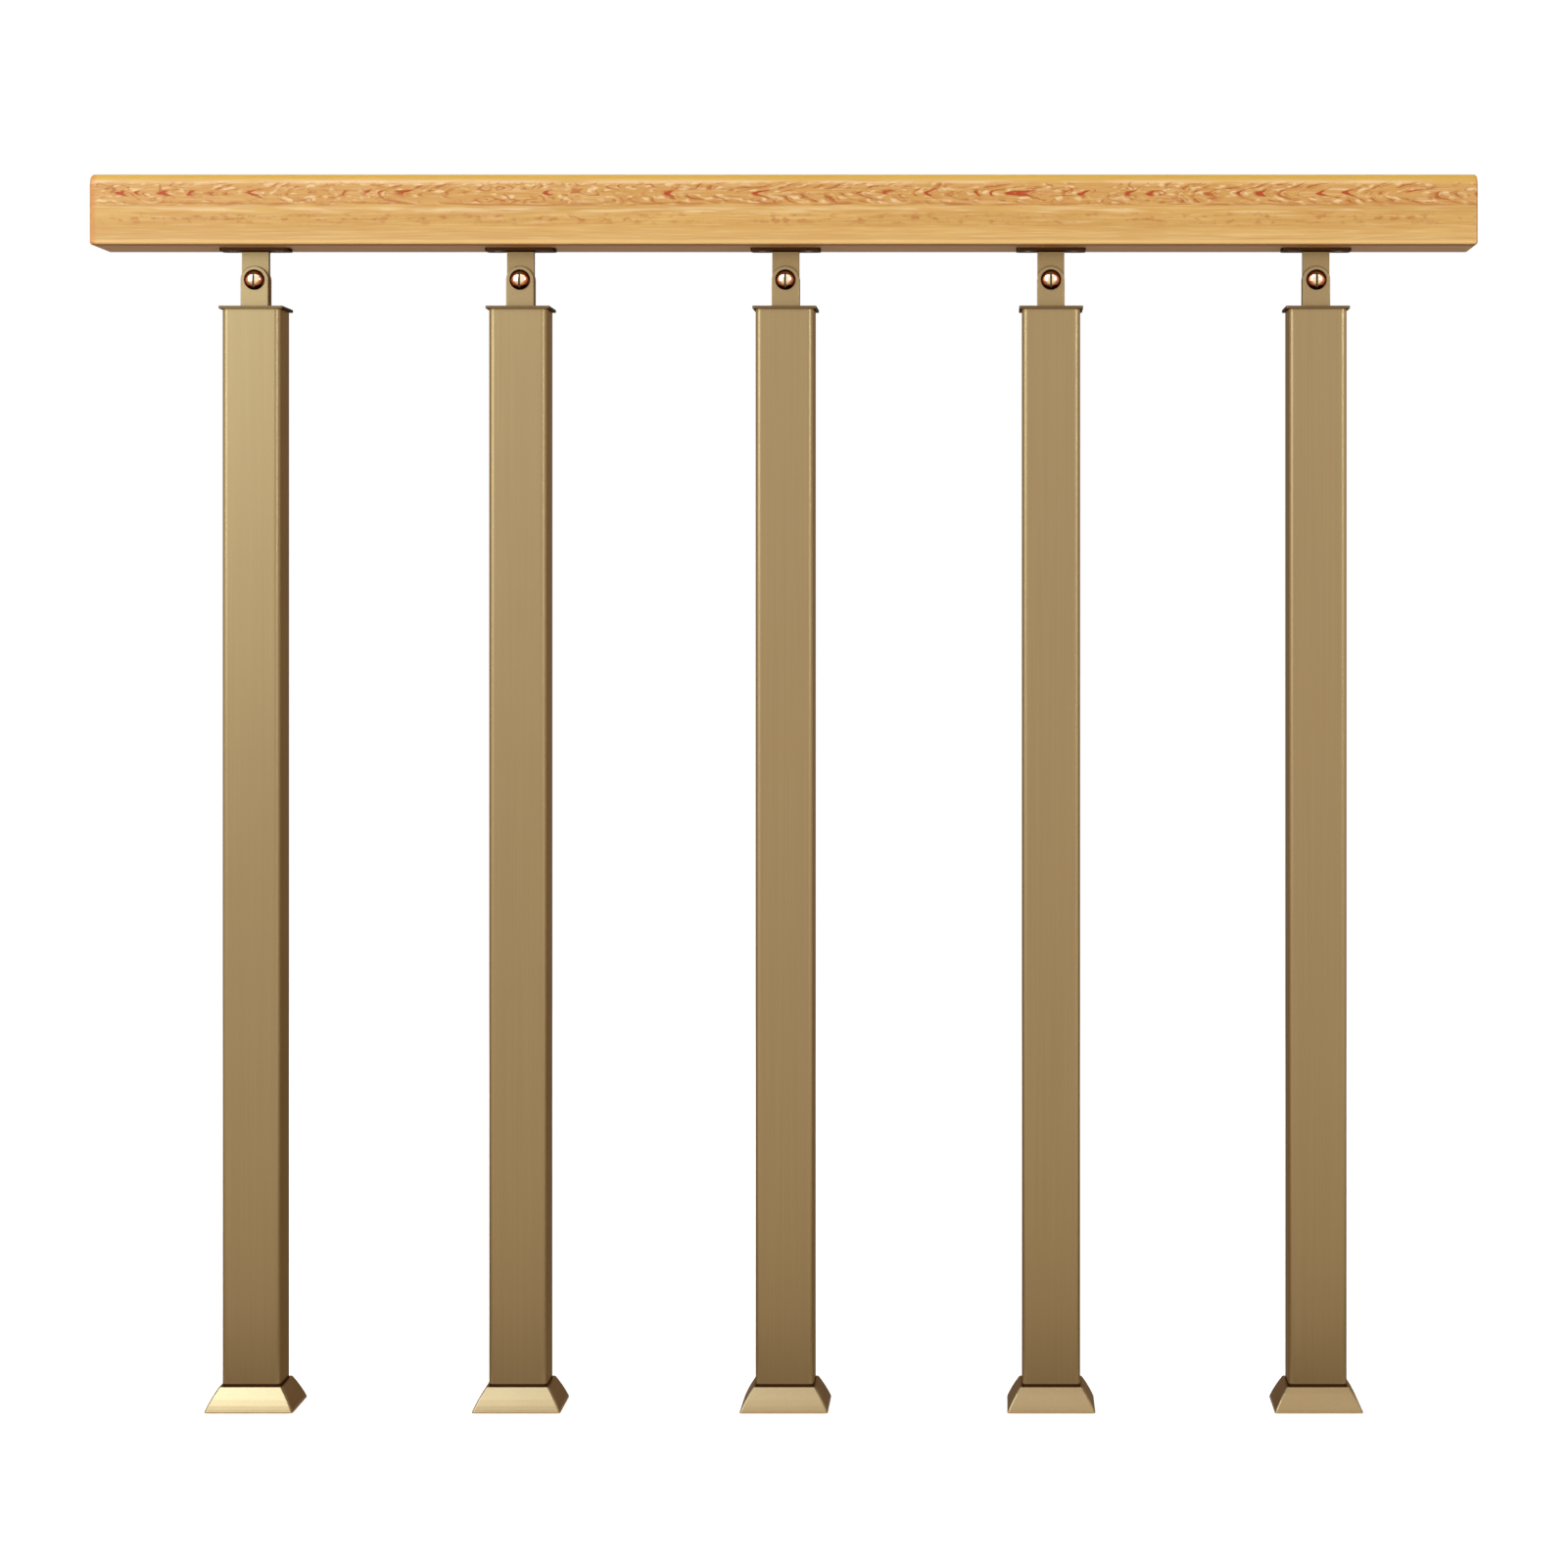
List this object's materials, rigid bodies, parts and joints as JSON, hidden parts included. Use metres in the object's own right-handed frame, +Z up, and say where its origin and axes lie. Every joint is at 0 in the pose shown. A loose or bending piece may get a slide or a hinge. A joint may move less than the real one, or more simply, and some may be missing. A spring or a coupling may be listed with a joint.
{
  "type": "stair railing",
  "caption": "Wooden handrail carried on square metal posts by bolted knuckles, so the rail can follow the pitch of a stair while the posts stay upright.",
  "frame": {"origin": "middle of the underside of the centre post's foot", "axes": "+X along the handrail to the right, -Y towards the front with the bolt heads, +Z up"},
  "size_m": [0.952, 0.0604, 0.85],
  "materials": {
    "handrail_wood": "clear lacquered honey-coloured wood with a red-brown figure",
    "post_aluminium": "satin anodised, champagne brown",
    "core_casting": "as cast",
    "bright_brass": "polished"
  },
  "bodies": {
    "centre_post": {"post_3": "post_aluminium", "foot_core_3": "core_casting", "foot_cover_3": "post_aluminium", "top_cap_3": "post_aluminium", "fork_3": "post_aluminium", "pivot_bolt_3": "bright_brass", "pivot_nut_3": "bright_brass"},
    "handrail": {"handrail": "handrail_wood", "rail_bracket_1": "post_aluminium", "rail_bracket_2": "post_aluminium", "rail_bracket_3": "post_aluminium", "rail_bracket_4": "post_aluminium", "rail_bracket_5": "post_aluminium"},
    "far_left_post": {"post_1": "post_aluminium", "foot_core_1": "core_casting", "foot_cover_1": "post_aluminium", "top_cap_1": "post_aluminium", "fork_1": "post_aluminium", "pivot_bolt_1": "bright_brass", "pivot_nut_1": "bright_brass"},
    "left_post": {"post_2": "post_aluminium", "foot_core_2": "core_casting", "foot_cover_2": "post_aluminium", "top_cap_2": "post_aluminium", "fork_2": "post_aluminium", "pivot_bolt_2": "bright_brass", "pivot_nut_2": "bright_brass"},
    "right_post": {"post_4": "post_aluminium", "foot_core_4": "core_casting", "foot_cover_4": "post_aluminium", "top_cap_4": "post_aluminium", "fork_4": "post_aluminium", "pivot_bolt_4": "bright_brass", "pivot_nut_4": "bright_brass"},
    "far_right_post": {"post_5": "post_aluminium", "foot_core_5": "core_casting", "foot_cover_5": "post_aluminium", "top_cap_5": "post_aluminium", "fork_5": "post_aluminium", "pivot_bolt_5": "bright_brass", "pivot_nut_5": "bright_brass"}
  },
  "joints": [
    {"name": "rail_tilt", "type": "hinge", "parent": "centre_post", "child": "handrail", "pos_m": [0, 0, 0.779], "axis": [0, 1, 0], "range_deg": [-45, 45]},
    {"name": "far_left_post_pivot", "type": "hinge", "parent": "handrail", "child": "far_left_post", "pos_m": [-0.367, 0, 0.779], "axis": [0, 1, 0], "range_deg": [-45, 45]},
    {"name": "left_post_pivot", "type": "hinge", "parent": "handrail", "child": "left_post", "pos_m": [-0.1835, 0, 0.779], "axis": [0, 1, 0], "range_deg": [-45, 45]},
    {"name": "right_post_pivot", "type": "hinge", "parent": "handrail", "child": "right_post", "pos_m": [0.1835, 0, 0.779], "axis": [0, 1, 0], "range_deg": [-45, 45]},
    {"name": "far_right_post_pivot", "type": "hinge", "parent": "handrail", "child": "far_right_post", "pos_m": [0.367, 0, 0.779], "axis": [0, 1, 0], "range_deg": [-45, 45]}
  ],
  "couplings": [
    {"joint": "far_left_post_pivot", "follows": "rail_tilt", "ratio": -1},
    {"joint": "left_post_pivot", "follows": "rail_tilt", "ratio": -1},
    {"joint": "right_post_pivot", "follows": "rail_tilt", "ratio": -1},
    {"joint": "far_right_post_pivot", "follows": "rail_tilt", "ratio": -1}
  ]
}
